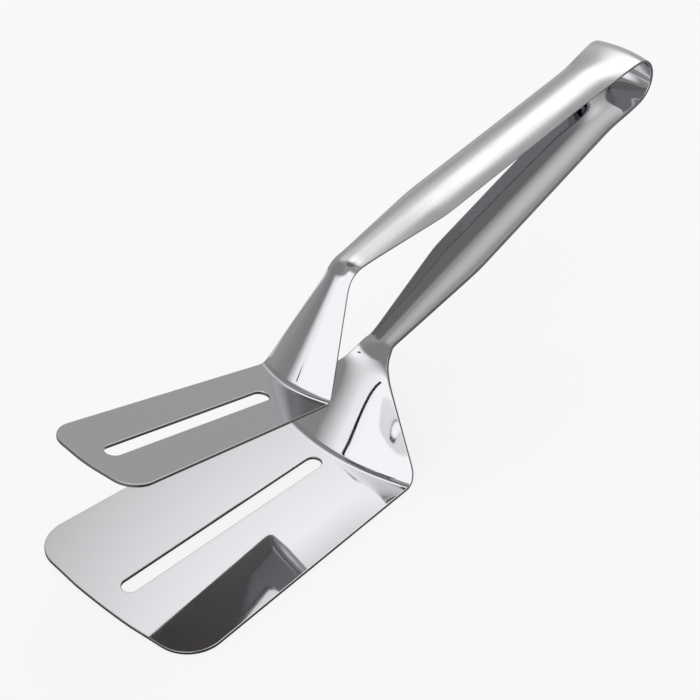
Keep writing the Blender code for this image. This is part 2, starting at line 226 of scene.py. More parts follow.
class FinishProperties(bpy.types.PropertyGroup):
    """Colours and gloss of the steel, and the curl of the lower blade."""

    polished_colour: tint("Polished colour", "What the polished steel reflects", "C7C7CA")
    satin_colour: tint("Satin colour", "What the satin steel reflects", "D1D1D3")
    # Darker than the faces: partly the cut edge's own tone, partly painted shade along the edges.
    rim_colour_and_shade: tint("Rim colour and shade", "What the sheared edges reflect", "8A8A8D")
    polished_roughness: fraction("Polished roughness", "Haze left by the polishing wheel", 0.035)
    satin_roughness: fraction("Satin roughness", "Spread of the brushed finish", 0.26)
    rim_roughness: fraction("Rim roughness", "Spread of the tumbled cut edges", 0.22)
    satin_start: length("Satin start", "From the throat to where the brushing begins", 0.0020)
    satin_fade: length("Satin fade", "Run in which the brushing sets in", 0.0060)
    dish_start: length("Dish start", "From the middle of the lower blade to where it curls", 0.0200)
    dish_spread: amount("Dish spread", "How fast the flat middle widens towards the tip", 0.066)
    dish_bend: amount("Dish bend", "Slope gained by each metre outside that, as 1/m", 3.8)
    dish_fade: length("Dish fade", "Run from the crease in which the curl sets in", 0.0350)


class StudioProperties(bpy.types.PropertyGroup):
    """Where the tongs are seen from, what they stand on and mirror, and how they are lit."""

    camera_place: location("Camera place", "Where the camera stands", (0.38377, 0.34983, 0.42830))
    camera_tilt: angle("Camera tilt", "First turn, round X, from straight down", 52.5488)
    camera_lean: angle("Camera lean", "Second turn, round Y", -0.1805)
    camera_bearing: angle("Camera bearing", "Third turn, round Z", 133.8179)
    focal_length: amount("Focal length", "In millimetres, on a 36 mm frame", 96.76)

    floor_size: length("Floor size", "Side of the paper floor", 6.0)
    floor_colour: tint("Floor colour", "Pale studio floor", "FBFBFB")
    floor_glow: fraction("Floor glow", "Share of the floor that is plain white", 0.79)
    grey_card_size: length("Grey card size", "Side of the grey card", 1.6)
    grey_card_place: location("Grey card place", "Middle of the grey card", (0.0, 0.0, 0.00005))
    grey_card_colour: tint("Grey card colour", "Card that the channels mirror", "BDBDC0")
    # The second floor card is the floor round the tongs as the steel mirrors it. Its dark tone is painted
    # shade of the tongs on the floor: deepest ahead of the tongs, under the blades, and lighter under the
    # handles towards the bow.
    shade_card_size: length("Shade card size", "Side of the brown card", 0.280)
    shade_card_place: location("Shade card place", "Middle of the brown card", (0.030, 0.084, 0.0001))
    shade_card_darkest: tint("Darkest painted shade", "The brown card ahead of the tongs", "78736F")
    shade_card_lightest: tint("Lightest painted shade", "The same card under the handles", "B4B0AE")
    shade_lightest_at: length("Lightest shade place", "Place along X where the brown card is lightest", -0.03)
    shade_darkest_at: length("Darkest shade place", "Place along X where the brown card is darkest", 0.06)
    lamp_head_colour: tint("Lamp head colour", "Unlit lamp that the necks mirror", "1C1A1A")
    lamp_head_radius: length("Lamp head radius", "Radius of the unlit lamp", 0.014)
    lamp_head_depth: length("Lamp head depth", "Height of the unlit lamp", 0.110)
    lamp_head_distance: length("Lamp head distance", "From the tongs to the unlit lamp", 1.2)
    lamp_head_azimuth: angle("Lamp head azimuth", "From +X towards +Y", -27.0)
    lamp_head_height: angle("Lamp head height", "Over the floor", 18.5)

    wall_light: brightness("Wall light", "Light of the pale grey walls", 0.46)
    back_lamp: round_light("Back lamp", "Soft lamp behind the bow", -160.0, 53.0, 17.7, 26.2)
    back_light: brightness("Back light", "Light that it adds", 1.02)
    core_lamp: round_light("Core lamp", "The middle of the back lamp", -160.0, 53.0, 10.0, 19.0)
    core_light: brightness("Core light", "Light that it adds", 0.42)
    front_lamp: round_light("Front lamp", "Soft lamp ahead of the tips", 10.0, 22.0, 40.0, 51.0)
    front_light: brightness("Front light", "Light that it adds", 1.12)
    screen: round_light("Screen", "What hides part of the front lamp", -42.0, 50.0, 22.0, 30.0)
    side_lamp: round_light("Side lamp", "Soft lamp beside the handles", -116.0, 41.0, 4.0, 19.0)
    side_light: brightness("Side light", "Light that it adds", 0.40)
    low_lamp: round_light("Low lamp", "Soft lamp low behind the bow", -144.0, 20.0, 10.0, 20.0)
    low_light: brightness("Low light", "Light that it adds", 0.07)
    ceiling: round_light("Ceiling", "Dark part of the ceiling", -112.0, 75.0, 9.5, 15.5)
    ceiling_light: fraction("Ceiling light", "Share of the light that it keeps", 0.46)
    corner: round_light("Corner", "Darker corner of the room", -58.0, 34.0, 20.0, 34.0)
    corner_light: fraction("Corner light", "Share of the light that it keeps", 0.74)


def way_back(rise):
    """Unit vector in the side view, x then z, that heads for the bow at a given rise."""
    return np.array([-math.cos(rise), math.sin(rise)])


def upper_side(way):
    """Normal of the face that looks up and forwards, on a run that heads for the bow."""
    return np.array([way[1], -way[0]])


def run_to(place, start, way):
    """How far a point of the mesh lies from a start, along a way of the side view."""
    return float(np.dot(np.array([place.x, place.z]) - start, way))


def smooth_step(value, start, end):
    share = min(max((value - start) / (end - start), 0.0), 1.0)
    return share * share * (3.0 - 2.0 * share)


def fillet(before, corner, after, radius, steps):
    """Points of the arc that rounds one corner of a plane path, both ends included."""
    inward = (before - corner) / np.linalg.norm(before - corner)
    outward = (after - corner) / np.linalg.norm(after - corner)
    half_angle = 0.5 * math.acos(float(np.clip(np.dot(inward, outward), -1.0, 1.0)))
    bisector = (inward + outward) / np.linalg.norm(inward + outward)
    centre = corner + bisector * radius / math.sin(half_angle)
    first = corner + inward * radius / math.tan(half_angle) - centre
    last = corner + outward * radius / math.tan(half_angle) - centre
    sweep = math.pi - 2.0 * half_angle
    points = []
    for step in range(steps + 1):
        turned = sweep * step / steps
        spoke = math.sin(sweep - turned) * first + math.sin(turned) * last
        points.append(centre + spoke / math.sin(sweep))
    return points


def rounded_path(corners, radii, steps):
    """A plane path whose inner corners are rounded, one radius for each."""
    corners = [np.array(corner) for corner in corners]
    points = [corners[0]]
    for before, corner, after, radius in zip(corners, corners[1:], corners[2:], radii):
        points.extend(fillet(before, corner, after, radius, steps))
    points.append(corners[-1])
    return np.array(points)


def arched_section(half_width, edge_slope, share):
    """Place across and height over the edges, at a share of the way round a circular arch."""
    if abs(edge_slope) < STRAIGHT:
        return share * half_width, 0.0
    radius = half_width / math.sin(edge_slope)
    turned = share * edge_slope
    return radius * math.sin(turned), radius * (math.cos(turned) - math.cos(edge_slope))


class Arm:
    """One arm of the strip. Distances start at the crease and run up the neck to the bow."""

    # How far past the throat the neck's rows run, in lengths of half the throat's bend.
    THROAT_RUN = 1.5

    def __init__(self, sizes):
        self.sizes = sizes
        self.strip = bpy.context.scene.tongs_strip
        self.facets = bpy.context.scene.tongs_facets
        self.blade_way = way_back(sizes.blade_rise)
        self.neck_way = way_back(sizes.neck_rise)
        self.handle_way = way_back(sizes.handle_rise)
        self.length = sizes.neck_length + sizes.handle_length
        self.outer_side = upper_side(self.handle_way) * sizes.bow_turn
        bow_centre = np.array([HINGE.x + self.strip.bow_radius, HINGE.z])
        handle_end = bow_centre + self.strip.bow_radius * self.outer_side
        self.throat = handle_end - self.handle_way * sizes.handle_length
        self.crease = self.throat - self.neck_way * sizes.neck_length
        half_bend = sizes.throat_radius * math.tan(0.5 * (sizes.neck_rise - sizes.handle_rise))
        self.neck_end = sizes.neck_length + self.THROAT_RUN * half_bend
        self.outline = self.flat_outline()

    def flat_outline(self):
        sizes = self.sizes
        spread = (sizes.tip_half_width - sizes.rear_half_width) / sizes.blade_length
        corners = [
            (-sizes.blade_length, sizes.tip_half_width),
            (sizes.shoulder_height, sizes.rear_half_width - spread * sizes.shoulder_height),
            (sizes.neck_length - sizes.waist_drop, sizes.throat_half_width),
            (sizes.neck_length + sizes.flare_start, sizes.throat_half_width),
            (sizes.neck_length + sizes.flare_end, sizes.handle_half_width),
            (self.length - self.strip.arch_fade, sizes.handle_half_width),
            (self.length, self.strip.bow_half_width),
        ]
        flare = self.strip.flare_radius
        radii = [sizes.shoulder_radius, sizes.waist_radius, flare, flare, flare]
        return rounded_path(corners, radii, self.facets.outline_steps)

    def half_width(self, distance):
        return float(np.interp(distance, self.outline[:, 0], self.outline[:, 1]))

    def into_bow(self, distance):
        return smooth_step(distance, self.length - self.strip.arch_fade, self.length)

    def edge_slope(self, distance):
        sizes = self.sizes
        up_the_neck = smooth_step(distance, 0.0, sizes.neck_length)
        into_handle = smooth_step(distance, sizes.neck_length, sizes.neck_length + sizes.flare_end)
        slope = sizes.neck_edge_slope
        slope += (sizes.throat_edge_slope - sizes.neck_edge_slope) * up_the_neck
        slope += (sizes.handle_edge_slope - sizes.throat_edge_slope) * into_handle
        bow_slope = sizes.bow_turn * self.strip.bow_edge_slope
        return slope + (bow_slope - slope) * self.into_bow(distance)

    def section(self, distance, share):
        return arched_section(self.half_width(distance), self.edge_slope(distance), share)

    def lift(self, distance, share):
        """Height of the arched section over the line of the flat strip."""
        outside = self.sizes.arch_outside
        outside += (self.strip.bow_arch_outside - outside) * self.into_bow(distance)
        return self.section(distance, share)[1] - (1.0 - outside) * self.section(distance, 0.0)[1]

    def handle_point(self, distance, share):
        along = self.throat + self.handle_way * (distance - self.sizes.neck_length)
        return along + upper_side(self.handle_way) * self.lift(distance, share)

    def neck_profile(self, share):
        """Side view of the neck at one share of its width, with the bends at both its ends."""
        sizes = self.sizes
        crease_turn = sizes.neck_rise - sizes.blade_rise
        crease = self.crease - self.blade_way * self.section(0.0, share)[1] / math.sin(crease_turn)
        on_blade = crease - self.blade_way * sizes.neck_length
        neck_side = upper_side(self.neck_way)
        handle_side = upper_side(self.handle_way)
        mitre = (neck_side + handle_side) / (1.0 + np.dot(neck_side, handle_side))
        throat = self.throat + mitre * self.lift(sizes.neck_length, share)
        on_handle = self.handle_point(self.neck_end, share)
        crease_bend = fillet(on_blade, crease, throat, self.strip.crease_radius, self.facets.crease_steps)
        throat_bend = fillet(crease, throat, on_handle, sizes.throat_radius, self.facets.throat_steps)
        fan = np.linspace(crease_bend[-1], throat_bend[0], self.facets.neck_steps + 1)[1:-1]
        ahead = crease_bend[0] - self.blade_way * 0.5 * self.strip.crease_radius
        return np.array([ahead, *crease_bend, *fan, *throat_bend, on_handle])

    def shares(self):
        return np.linspace(-1.0, 1.0, self.facets.across + 1)

    def row(self, distance, side_view):
        """A row of points across the strip, from where each lies in the side view."""
        return [(x, self.section(distance, share)[0], z) for share, (x, z) in zip(self.shares(), side_view)]

    def neck_rows(self):
        """Rows of points from just ahead of the crease up to the start of the handle."""
        profiles = [self.neck_profile(share) for share in self.shares()]
        steps = np.linalg.norm(np.diff(profiles[0], axis=0), axis=1)
        distances = self.neck_end - np.append(np.cumsum(steps[::-1])[::-1], 0.0)
        return [self.row(distance, points) for distance, points in zip(distances, zip(*profiles))]

    def handle_row(self, distance):
        return self.row(distance, [self.handle_point(distance, share) for share in self.shares()])

    def handle_rows(self):
        """Rows of points from the neck's last row to where the bow's tail begins."""
        last = self.length - self.strip.bow_tail
        distances = np.linspace(self.neck_end, last, self.facets.handle_steps + 1)
        return [self.handle_row(distance) for distance in distances[1:]]

    def tail_rows(self):
        """Rows of points along the part of the handle that is drawn with the bow."""
        shares = np.linspace(1.0, 0.0, self.facets.tail_steps + 1)
        return [self.handle_row(self.length - self.strip.bow_tail * share) for share in shares]

    def on_blade(self, forwards, across):
        """A point of the blade's middle plane, from its distance ahead of the crease."""
        x, z = self.crease - self.blade_way * forwards
        return (x, across, z)

    def past_throat(self, place):
        """How far along the handle a point lies."""
        return run_to(place, self.throat, self.handle_way)

    def at_seam(self, place):
        """Whether a point lies where this arm meets the bow's piece."""
        seam = self.sizes.handle_length - self.strip.bow_tail
        return abs(self.past_throat(place) - seam) < SEAM_REACH


def deselect_everything():
    if bpy.context.object and bpy.context.object.mode != "OBJECT":
        bpy.ops.object.mode_set(mode="OBJECT")
    bpy.ops.object.select_all(action="DESELECT")


def edit_mesh():
    """The mesh in edit mode, ready for looking up its points and edges by number."""
    mesh = bmesh.from_edit_mesh(bpy.context.object.data)
    mesh.verts.ensure_lookup_table()
    mesh.edges.ensure_lookup_table()
    return mesh


def pick(points=(), edges=()):
    """Selects the points and edges with these numbers and nothing else."""
    bpy.ops.mesh.select_all(action="DESELECT")
    mesh = edit_mesh()
    for number in points:
        mesh.verts[number].select_set(True)
    for number in edges:
        mesh.edges[number].select_set(True)
    mesh.select_flush_mode()
    bmesh.update_edit_mesh(bpy.context.object.data, loop_triangles=False, destructive=False)


def picked_points():
    """Numbers of the selected points, from one side of the strip to the other."""
    chosen = sorted((point for point in edit_mesh().verts if point.select), key=lambda point: point.co.y)
    return [point.index for point in chosen]


def place_of(number):
    return edit_mesh().verts[number].co.copy()


def pull(numbers, places):
    """Moves each point by itself to its place."""
    for number, place in zip(numbers, places):
        pick([number])
        bpy.ops.transform.translate(value=Vector(place) - place_of(number))


def start_strip(name, first, second):
    """A short row of faces across the strip, in edit mode with its second edge selected."""
    deselect_everything()
    middle = np.mean([first, second], axis=(0, 1))
    bpy.ops.mesh.primitive_grid_add(
        x_subdivisions=1, y_subdivisions=len(first) - 1, size=abs(first[0][1]), location=middle)
    piece = bpy.context.object
    piece.name = name
    piece.data.name = name
    bpy.ops.object.transform_apply(location=True, rotation=True, scale=True)
    bpy.ops.object.mode_set(mode="EDIT")
    bpy.ops.mesh.select_mode(type="VERT")
    points = sorted(edit_mesh().verts, key=lambda point: (-round(point.co.x, 7), point.co.y))
    numbers = [point.index for point in points]
    front, back = numbers[:len(first)], numbers[len(first):]
    pull(front, first)
    pull(back, second)
    pick(back)
    return piece


def extrude_rows(rows):
    """Extrudes the selected edge of the strip to each row in turn."""
    for places in rows:
        start = np.mean([place_of(number) for number in picked_points()], axis=0)
        move = Vector(np.mean(places, axis=0) - start)
        bpy.ops.mesh.extrude_region_move(TRANSFORM_OT_translate={"value": move})
        numbers = picked_points()
        pull(numbers, places)
        pick(numbers)


def apply_modifier(piece, name, kind, **settings):
    """Adds one modifier, sets it up and applies it."""
    modifier = piece.modifiers.new(name, kind)
    for key, value in settings.items():
        setattr(modifier, key, value)
    bpy.ops.object.modifier_apply(modifier=name)


def smooth_strip(piece):
    """Rounds the drawn rows into one flowing surface."""
    levels = bpy.context.scene.tongs_facets.smooth_levels
    bpy.ops.object.mode_set(mode="OBJECT")
    apply_modifier(
        piece, "Smooth", "SUBSURF", levels=levels, render_levels=levels, boundary_smooth="PRESERVE_CORNERS")


def tip_outline(arm):
    """One half of a blade's bowed tip and its rounded corner, from the middle outwards."""
    sizes = arm.sizes
    corner = np.array([sizes.blade_length - sizes.tip_bow, sizes.tip_half_width])
    side = np.array([0.0, sizes.rear_half_width])
    # The bulge ends two corner radii from the side, which leaves the corner's arc its room.
    bulge_half_width = sizes.tip_half_width - 2.0 * sizes.tip_corner
    points = []
    for y in np.linspace(0.0, bulge_half_width, arm.facets.tip_steps + 1):
        points.append(np.array([sizes.blade_length - sizes.tip_bow * (y / sizes.tip_half_width) ** 2, y]))
    return points + fillet(points[-1], corner, side, sizes.tip_corner, arm.facets.corner_steps)


def front_edge(arm):
    """Numbers of the open edges across the strip, just ahead of the crease."""
    chosen = []
    for edge in edit_mesh().edges:
        in_front = all(run_to(point.co, arm.crease, arm.blade_way) < 0.0 for point in edge.verts)
        across = abs(edge.verts[0].co.y - edge.verts[1].co.y) > MERGE_DISTANCE
        if edge.is_boundary and in_front and across:
            chosen.append(edge.index)
    return chosen


def merge_doubles():
    bpy.ops.mesh.remove_doubles(threshold=MERGE_DISTANCE)


def draw_outline(arm):
    """Draws the blade's outline from one end of the crease round the tip to the other."""
    mesh = edit_mesh()
    ends = sorted({point for number in front_edge(arm) for point in mesh.edges[number].verts},
                  key=lambda point: point.co.y)
    far_end = ends[0].co.copy()
    pick([ends[-1].index])
    half = tip_outline(arm)
    outline = [(x, y) for x, y in reversed(half)] + [(x, -y) for x, y in half[1:]]
    for place in [*(arm.on_blade(x, y) for x, y in outline), far_end]:
        step = Vector(place) - place_of(picked_points()[0])
        bpy.ops.mesh.extrude_vertices_move(TRANSFORM_OT_translate={"value": step})
    bpy.ops.mesh.select_all(action="SELECT")
    merge_doubles()


def draw_slot(arm):
    """Draws the slot's outline, with fully rounded ends."""
    sizes = arm.sizes
    slot_ends = (sizes.slot_rear_margin, sizes.blade_length - sizes.slot_front_margin)
    corners = [arm.on_blade(end, side * sizes.slot_half_width) for end in slot_ends for side in (-1.0, 1.0)]
    bpy.ops.mesh.select_all(action="DESELECT")
    bpy.ops.mesh.primitive_plane_add(size=sizes.slot_half_width, location=np.mean(corners, axis=0))
    numbers = sorted(picked_points(), key=lambda number: round(place_of(number).x, 6))
    pull(numbers, corners)
    pick(numbers)
    bpy.ops.mesh.bevel(
        affect="VERTICES", offset=sizes.slot_half_width, offset_type="OFFSET",
        segments=arm.facets.slot_steps, profile=0.5)
    merge_doubles()
    bpy.ops.mesh.delete(type="ONLY_FACE")


def draw_blade(arm):
    """Draws the blade's outline and its slot, and fills the face between."""
    bpy.ops.object.mode_set(mode="EDIT")
    draw_outline(arm)
    draw_slot(arm)
    bpy.ops.mesh.select_mode(type="EDGE")
    loose = [edge.index for edge in edit_mesh().edges if edge.is_wire]
    pick(edges=[*loose, *front_edge(arm)])
    bpy.ops.mesh.fill(use_beauty=True)
    bpy.ops.object.mode_set(mode="OBJECT")


def give_thickness(piece):
    """Turns the surface the right way up and gives it the thickness of the sheet and its steels."""
    strip = bpy.context.scene.tongs_strip
    for steel in (polished_steel(), satin_steel(), rim_steel()):
        piece.data.materials.append(steel)
    bpy.ops.object.mode_set(mode="EDIT")
    bpy.ops.mesh.select_all(action="SELECT")
    merge_doubles()
    bpy.ops.mesh.normals_make_consistent(inside=False)
    if sum(face.normal.z * face.calc_area() for face in edit_mesh().faces) < 0.0:
        bpy.ops.mesh.flip_normals()
    bpy.ops.mesh.select_mode(type="FACE")
    bpy.ops.mesh.select_all(action="SELECT")
    bpy.ops.mesh.inset(thickness=strip.edge_ring, use_boundary=True, use_even_offset=True)
    bpy.ops.object.mode_set(mode="OBJECT")
    apply_modifier(
        piece, "Sheet", "SOLIDIFY", thickness=strip.sheet, offset=0.0, use_even_offset=True,
        use_quality_normals=True, material_offset_rim=RIM)


def round_edges(piece, at_seam):
    """Rounds the tumbled edges of the sheet, but not where one drawn piece meets the next."""
    bpy.ops.object.shade_smooth_by_angle(angle=SHARP_ANGLE)
    bpy.ops.object.mode_set(mode="EDIT")
    bpy.ops.mesh.select_mode(type="EDGE")
    rims = []
    for edge in edit_mesh().edges:
        sharp = len(edge.link_faces) == 2 and edge.calc_face_angle() > RIM_ANGLE
        if sharp and not all(at_seam(point.co) for point in edge.verts):
            rims.append(edge.index)
    pick(edges=rims)
    offset = bpy.context.scene.tongs_strip.edge_round
    segments = bpy.context.scene.tongs_facets.rim_steps
    bpy.ops.mesh.bevel(offset=offset, segments=segments, profile=0.5, affect="EDGES")
    bpy.ops.object.mode_set(mode="OBJECT")


def give_steel(piece, number, is_meant):
    """Gives a steel to the polished faces that are meant, by their middle and normal."""
    bpy.ops.object.mode_set(mode="EDIT")
    bpy.ops.mesh.select_mode(type="FACE")
    bpy.ops.mesh.select_all(action="DESELECT")
    for face in edit_mesh().faces:
        if face.material_index == POLISHED and is_meant(face.calc_center_median(), face.normal):
            face.select_set(True)
    bmesh.update_edit_mesh(piece.data, loop_triangles=False, destructive=False)
    piece.active_material_index = number
    bpy.ops.object.material_slot_assign()
    bpy.ops.object.mode_set(mode="OBJECT")


def brush_outside(piece, is_outside, brushing):
    """Gives the satin steel to the outer faces and keeps how far each point is brushed."""
    give_steel(piece, SATIN, lambda place, normal: is_outside(place, normal) and brushing(place) > 0.0)
    brushed = piece.data.attributes.new("brushed", "FLOAT", "POINT")
    brushed.data.foreach_set("value", [brushing(point.co) for point in piece.data.vertices])


def draw_arm(name, arm):
    """One arm of the strip, from its blade to where the bow's tail begins."""
    first, second, *rest = arm.neck_rows() + arm.handle_rows()
    piece = start_strip(name, first, second)
    extrude_rows(rest)
    smooth_strip(piece)
    draw_blade(arm)
    give_thickness(piece)
    round_edges(piece, arm.at_seam)
    finish = bpy.context.scene.tongs_finish

    def is_outside(place, normal):
        return normal.x * arm.outer_side[0] + normal.z * arm.outer_side[1] >= 0.0

    def brushing(place):
        """How far the steel is brushed: not at all up to the throat, and fully on the handle."""
        end = finish.satin_start + finish.satin_fade
        return smooth_step(arm.past_throat(place), finish.satin_start, end)

    brush_outside(piece, is_outside, brushing)
    return piece


def add_node(tree, kind, inputs=None, **settings):
    """Adds one shader node, sets it up and links or fills its inputs."""
    node = tree.nodes.new("ShaderNode" + kind)
    for key, value in settings.items():
        setattr(node, key, value)
    for key, value in (inputs or {}).items():
        if isinstance(value, bpy.types.NodeSocket):
            tree.links.new(value, node.inputs[key])
        else:
            node.inputs[key].default_value = value
    return node


def streaks(tree, place, width):
    """Noise that runs along the strip: fine across it, which is Y, and long the other way."""
    stretched = add_node(tree, "Mapping", {
        "Vector": place, "Scale": (1.0 / STREAK_LENGTH, 1.0 / width, 1.0 / STREAK_LENGTH)})
    noise = add_node(tree, "TexNoise", {
        "Vector": stretched.outputs["Vector"], "Scale": 1.0, "Detail": 3.0, "Roughness": 0.6})
    return noise.outputs["Fac"]


def dish(tree, place, crease):
    """Height of a blade whose side towards +Y curls up a little, which stretches what it mirrors.

    The other side mirrors one even tone in the photo, so it stays flat. The flat middle
    widens over the first 100 mm ahead of the crease.
    """
    finish = bpy.context.scene.tongs_finish
    run = 0.1
    axes = add_node(tree, "SeparateXYZ", {"Vector": place})
    flat = add_node(tree, "MapRange", {
        "Value": axes.outputs["X"], "From Min": crease, "From Max": crease + run,
        "To Min": finish.dish_start, "To Max": finish.dish_start + run * finish.dish_spread})
    side = add_node(tree, "Math", {0: axes.outputs["Y"], 1: flat.outputs["Result"]}, operation="SUBTRACT")
    side = add_node(tree, "Math", {0: side.outputs["Value"], 1: 0.0}, operation="MAXIMUM")
    curl = add_node(tree, "Math", {0: side.outputs["Value"], 1: 2.0}, operation="POWER")
    set_in = add_node(tree, "MapRange", {
        "Value": axes.outputs["X"], "From Min": crease, "From Max": crease + finish.dish_fade,
        "To Max": 0.5 * finish.dish_bend}, interpolation_type="SMOOTHSTEP")
    height = {0: curl.outputs["Value"], 1: set_in.outputs["Result"]}
    return add_node(tree, "Math", height, operation="MULTIPLY").outputs["Value"]


def steel_material(
        name, colour, roughness, spread, line_width, line_height, brushed=None, dished_from=None):
    """Stainless steel whose gloss wanders a little and whose finishing lines run along the strip.

    brushed names the attribute that says how far the finish has set in. Short of that the
    steel is still wheel-polished. dished_from is the place of the crease of a dished blade.
    """
    material = bpy.data.materials.new(name)
    material.use_nodes = True
    tree = material.node_tree
    shader = tree.nodes["Principled BSDF"]
    shader.inputs["Base Color"].default_value = colour
    shader.inputs["Metallic"].default_value = 1.0
    place = add_node(tree, "TexCoord").outputs["Object"]
    lines = streaks(tree, place, line_width)
    cloud = add_node(tree, "TexNoise", {"Vector": place, "Scale": CLOUDS_PER_METRE, "Detail": 2.0})
    mixed = add_node(tree, "Math", {0: lines, 1: cloud.outputs["Fac"]}, operation="ADD")
    # The two noises together stay near 1, and seldom pass these ends.
    gloss = add_node(tree, "MapRange", {
        "Value": mixed.outputs["Value"], "From Min": 0.7, "From Max": 1.3,
        "To Min": roughness - spread, "To Max": roughness + spread}).outputs["Result"]
    relief = add_node(tree, "Bump", {"Height": lines, "Strength": 1.0, "Distance": line_height})
    if brushed:
        share = add_node(tree, "Attribute", attribute_name=brushed).outputs["Fac"]
        polish = bpy.context.scene.tongs_finish.polished_roughness
        set_in = add_node(tree, "MapRange", {"Value": share, "To Min": polish, "To Max": gloss})
        gloss = set_in.outputs["Result"]
        tree.links.new(share, relief.inputs["Strength"])
    if dished_from is not None:
        relief = add_node(tree, "Bump", {
            "Height": dish(tree, place, dished_from), "Strength": 1.0, "Distance": 1.0,
            "Normal": relief.outputs["Normal"]})
    tree.links.new(gloss, shader.inputs["Roughness"])
    tree.links.new(relief.outputs["Normal"], shader.inputs["Normal"])
    return material


def made_once(name, **looks):
    return bpy.data.materials.get(name) or steel_material(name, **looks)


def polished_steel(name="Mirror-polished stainless steel", dished_from=None):
    # Stainless steel, 18/10, wheel-polished after pressing: it mirrors the room, with a faint haze.
    # The wheel's lines are about 0.02 mm apart, too fine to show, so they are drawn 0.5 mm apart.
    finish = bpy.context.scene.tongs_finish
    return made_once(
        name, colour=finish.polished_colour, roughness=finish.polished_roughness, spread=0.012,
        line_width=0.0005, line_height=2e-7, dished_from=dished_from)


def dished_steel(crease):
    # The same mirror polish on the lower blade. Its side towards +Y curls up by under a millimetre,
    # which shows only in what it mirrors, so the curl is drawn as relief on the flat face.
    return polished_steel("Mirror-polished stainless steel, dished", crease)


def satin_steel():
    # The same steel, brushed lengthwise with a 180 grit belt: it spreads highlights into soft bands.
    # The belt's lines are about 0.1 mm apart, too fine to show, so they are drawn 0.4 mm apart.
    finish = bpy.context.scene.tongs_finish
    return made_once(
        "Satin-brushed stainless steel", colour=finish.satin_colour, roughness=finish.satin_roughness,
        spread=0.06, line_width=0.0004, line_height=6e-6, brushed="brushed")


def rim_steel():
    # The sheared edges of the sheet, rounded in a tumbler: smooth, but duller than the faces. Their darker
    # colour is partly the cut steel's own tone and partly painted shade of the dark lines along the edges.
    # The tumbling stones leave dents under 0.1 mm, too fine to show, so they are drawn 0.3 mm wide.
    finish = bpy.context.scene.tongs_finish
    return made_once(
        "Tumbled steel edge with painted shade", colour=finish.rim_colour_and_shade, roughness=finish.rim_roughness,
        spread=0.05, line_width=0.0003, line_height=2e-6)


class TONGS_OT_lower_arm(bpy.types.Operator):
    """Draws the lower arm: wide slotted blade, fan neck and channelled handle"""

    bl_idname = "tongs.lower_arm"
    bl_label = "Lower arm"

    def execute(self, context):
        arm = Arm(context.scene.tongs_lower)
        piece = draw_arm("lower_arm_strip", arm)
        crease = float(arm.crease[0])
        piece.data.materials.append(dished_steel(crease))
        give_steel(piece, DISHED, lambda place, normal: abs(normal.z) > FLAT_RISE and place.x > crease)
        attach(piece, "lower_arm")
        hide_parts("lower_blade", "lower_neck", "lower_handle")
        return {"FINISHED"}


class TONGS_OT_upper_arm(bpy.types.Operator):
    """Draws the upper arm: narrow slotted blade, fan neck and channelled handle"""

    bl_idname = "tongs.upper_arm"
    bl_label = "Upper arm"

    def execute(self, context):
        piece = draw_arm("upper_arm_strip", Arm(context.scene.tongs_upper))
        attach(piece, "upper_arm")
        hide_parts("upper_blade", "upper_neck", "upper_handle")
        return {"FINISHED"}


class TONGS_OT_bow(bpy.types.Operator):
    """Spins the spring bow between the ends of the two handles"""

    bl_idname = "tongs.bow"
    bl_label = "Spring bow"

    def execute(self, context):
        strip = context.scene.tongs_strip
        lower = Arm(context.scene.tongs_lower)
        upper = Arm(context.scene.tongs_upper)
        bow_centre = (HINGE.x + strip.bow_radius, 0.0, HINGE.z)
        turn = math.pi - lower.sizes.handle_rise + upper.sizes.handle_rise
        first, second, *rest = lower.tail_rows()
        piece = start_strip("spring_bow", first, second)
        extrude_rows(rest)
        bpy.ops.mesh.spin(
            steps=lower.facets.bow_steps, angle=-turn, center=bow_centre, axis=(0.0, 1.0, 0.0))
        extrude_rows(upper.tail_rows()[::-1][1:])
        smooth_strip(piece)
        give_thickness(piece)
        round_edges(piece, lambda place: lower.at_seam(place) or upper.at_seam(place))
        mean_rise = 0.5 * (lower.sizes.handle_rise + upper.sizes.handle_rise)
        ahead = Vector((math.cos(mean_rise), 0.0, -math.sin(mean_rise)))

        def is_outside(place, normal):
            """The normal of the outer side turns away from the line between the two handles."""
            spoke = Vector((place.x, 0.0, place.z)) - Vector(bow_centre)
            spoke -= max(spoke.dot(ahead), 0.0) * ahead
            return normal.dot(spoke) > 0.0

        brush_outside(piece, is_outside, lambda place: 1.0)
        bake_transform(piece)
        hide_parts("spring_bow_lower", "spring_bow_upper")
        return {"FINISHED"}


def matt_card(name, colour, roughness=1.0, shine=0.0):
    """Matt card, without any shine unless some is given."""
    material = bpy.data.materials.new(name)
    material.use_nodes = True
    shader = material.node_tree.nodes["Principled BSDF"]
    shader.inputs["Base Color"].default_value = colour
    shader.inputs["Roughness"].default_value = roughness
    shader.inputs["Specular IOR Level"].default_value = shine
    return material


def floor_paper(studio):
    """Pale matt background paper that takes the shadow of the tongs."""
    material = matt_card("Pale background paper", studio.floor_colour, roughness=0.9, shine=0.1)
    tree = material.node_tree
    path = add_node(tree, "LightPath")
    seen = path.outputs["Is Camera Ray"]
    for other in ("Is Glossy Ray", "Is Transmission Ray"):
        either = add_node(tree, "Math", {0: seen, 1: path.outputs[other]}, operation="MAXIMUM")
        seen = either.outputs["Value"]
    share = add_node(tree, "Math", {0: seen, 1: studio.floor_glow}, operation="MULTIPLY")
    white = add_node(tree, "Emission", {"Color": (1.0, 1.0, 1.0, 1.0), "Strength": 1.0})
    mix = add_node(tree, "MixShader", {
        "Fac": share.outputs["Value"], 1: tree.nodes["Principled BSDF"].outputs["BSDF"],
        2: white.outputs["Emission"]})
    tree.links.new(mix.outputs["Shader"], tree.nodes["Material Output"].inputs["Surface"])
    return material


